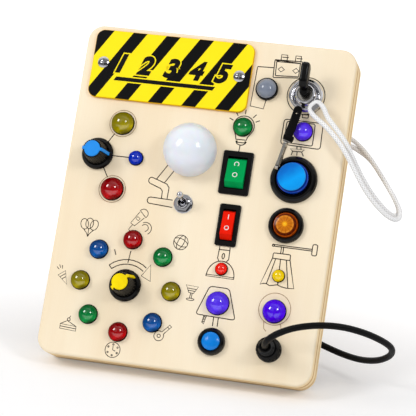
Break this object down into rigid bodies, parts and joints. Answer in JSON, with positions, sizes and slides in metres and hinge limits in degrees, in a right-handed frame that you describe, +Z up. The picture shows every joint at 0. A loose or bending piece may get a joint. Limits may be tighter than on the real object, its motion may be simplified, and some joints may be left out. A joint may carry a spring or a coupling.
{
  "type": "busy board",
  "caption": "Leaning plywood activity board with selector knobs, rocker and toggle switches, push buttons, a key lock, a plug and dome lamps on its face.",
  "frame": {"origin": "on the floor, under the middle of the board and its prop", "axes": "+X to the viewer's right along the board's width, +Y away from the viewer, +Z up; the face looks along -Y and 30 degrees up"},
  "size_m": [0.2614, 0.1668, 0.229],
  "materials": {
    "birch": "satin",
    "rear_board": "satin",
    "chrome": "polished",
    "steel": "satin",
    "zinc_screw": "polished",
    "black_gloss": "gloss",
    "black_satin": "satin",
    "grey_housing": "satin",
    "knob_blue": "satin",
    "knob_yellow": "satin",
    "sign_yellow": "gloss",
    "pearl_white": "gloss",
    "green_gloss": "gloss",
    "red_gloss": "gloss",
    "lamp_red": "gloss",
    "lamp_green": "gloss",
    "lamp_olive": "gloss",
    "lamp_blue": "gloss",
    "lamp_purple": "gloss",
    "lamp_yellow": "gloss",
    "lens_amber": "gloss",
    "button_blue": "gloss",
    "button_grey": "gloss",
    "rubber_black": "matte",
    "white_cord": "woven",
    "cable": "satin",
    "cell_wrap": "gloss",
    "circuit_green": "gloss",
    "wire_red": "satin",
    "nickel": "polished"
  },
  "bodies": {
    "board": {"amber_collar": "black_gloss", "amber_lens": "lens_amber", "arcade_collar": "black_gloss", "back_cover": "rear_board", "battery_box": "black_satin", "battery_cells": "cell_wrap", "battery_contacts": "nickel", "blue_button_collar": "black_gloss", "button_springs": "nickel", "circuit_board": "circuit_green", "cord_clip": "steel", "fob_strap": "rubber_black", "front_panel": "birch", "green_rocker_frame": "black_gloss", "grey_button_base": "black_satin", "hazard_plate": "sign_yellow", "key_escutcheon": "chrome", "key_ring": "steel", "key_switch_case": "grey_housing", "lamp_yellow": "lamp_yellow", "lamps_blue": "lamp_blue", "lamps_green": "lamp_green", "lamps_olive": "lamp_olive", "lamps_purple": "lamp_purple", "lamps_red": "lamp_red", "leg_brackets": "steel", "leg_pin": "steel", "panel_nuts": "chrome", "pearl_dome": "pearl_white", "plate_screws": "zinc_screw", "plug_cable": "cable", "plug_shell": "black_gloss", "rear_screws": "zinc_screw", "red_rocker_frame": "black_gloss", "selector_a_switch": "grey_housing", "selector_b_switch": "grey_housing", "snap_hook": "chrome", "socket": "black_gloss", "tether_cord": "white_cord", "toggle_switch": "grey_housing", "wire_loom": "wire_red"},
    "selector_a": {"knob_a_body": "black_satin", "knob_a_cap": "knob_blue", "selector_a_shaft": "steel"},
    "selector_b": {"knob_b_body": "black_satin", "knob_b_cap": "knob_yellow", "selector_b_shaft": "steel"},
    "toggle": {"toggle_lever": "chrome"},
    "green_switch": {"green_rocker": "green_gloss"},
    "red_switch": {"red_rocker": "red_gloss"},
    "key_cylinder": {"key_rotor": "chrome"},
    "key": {"key_blade": "nickel", "key_head": "black_satin"},
    "arcade_button": {"arcade_plunger": "button_blue"},
    "blue_button": {"blue_button_cap": "button_blue"},
    "grey_button": {"grey_button_cap": "button_grey"},
    "plug_collar": {"plug_ring": "black_satin"},
    "prop": {"prop_leg": "birch"},
    "door": {"battery_door": "black_satin"},
    "hook_gate": {"snap_gate": "chrome"}
  },
  "joints": [
    {"name": "selector_a_turn", "type": "hinge", "parent": "board", "child": "selector_a", "pos_m": [-0.0798, 0.0012, 0.14456], "axis": [0, -0.866, 0.5], "range_deg": [-59, 59]},
    {"name": "selector_b_turn", "type": "hinge", "parent": "board", "child": "selector_b", "pos_m": [-0.0428, -0.0464, 0.06211], "axis": [0, -0.866, 0.5], "range_deg": [-180, 135]},
    {"name": "toggle_flip", "type": "hinge", "parent": "board", "child": "toggle", "pos_m": [-0.0096, -0.01439, 0.11915], "axis": [1, 0, 0], "range_deg": [0, 28]},
    {"name": "green_rocker_tilt", "type": "hinge", "parent": "board", "child": "green_switch", "pos_m": [0.026, 0.00206, 0.14106], "axis": [1, 0, 0], "range_deg": [0, 18]},
    {"name": "red_rocker_tilt", "type": "hinge", "parent": "board", "child": "red_switch", "pos_m": [0.026, -0.01749, 0.10719], "axis": [1, 0, 0], "range_deg": [0, 18]},
    {"name": "key_turn", "type": "hinge", "parent": "board", "child": "key_cylinder", "pos_m": [0.0689, 0.0315, 0.19704], "axis": [0, -0.866, 0.5], "range_deg": [-90, 0]},
    {"name": "key_pull", "type": "slide", "parent": "key_cylinder", "child": "key", "axis": [0, -0.866, 0.5], "range_m": [0, 0.022]},
    {"name": "arcade_press", "type": "slide", "parent": "board", "child": "arcade_button", "axis": [0, 0.866, -0.5], "range_m": [0, 0.004], "stiffness_N_per_m": 200, "springref_m": -0.004, "deforming": ["button_springs"]},
    {"name": "blue_press", "type": "slide", "parent": "board", "child": "blue_button", "axis": [0, 0.866, -0.5], "range_m": [0, 0.002], "stiffness_N_per_m": 120, "springref_m": -0.004, "deforming": ["button_springs"]},
    {"name": "grey_press", "type": "slide", "parent": "board", "child": "grey_button", "axis": [0, 0.866, -0.5], "range_m": [0, 0.002], "stiffness_N_per_m": 120, "springref_m": -0.004, "deforming": ["button_springs"]},
    {"name": "plug_collar_turn", "type": "hinge", "parent": "board", "child": "plug_collar", "pos_m": [0.0697, -0.06275, 0.03379], "axis": [0, -0.866, 0.5], "range_deg": [0, 720]},
    {"name": "prop_fold", "type": "hinge", "parent": "board", "child": "prop", "pos_m": [0, 0.03665, 0.13956], "axis": [-1, 0, 0], "range_deg": [0, 42]},
    {"name": "battery_door_open", "type": "hinge", "parent": "board", "child": "door", "pos_m": [-0.0734, 0.05494, 0.18443], "axis": [0, 0.5, 0.866], "range_deg": [0, 95]},
    {"name": "hook_gate_open", "type": "hinge", "parent": "board", "child": "hook_gate", "pos_m": [0.06002, -0.0003, 0.16595], "axis": [0.9803, -0.0988, -0.1712], "range_deg": [0, 18], "stiffness_Nm_per_rad": 0.0003, "springref_deg": -28.65}
  ]
}
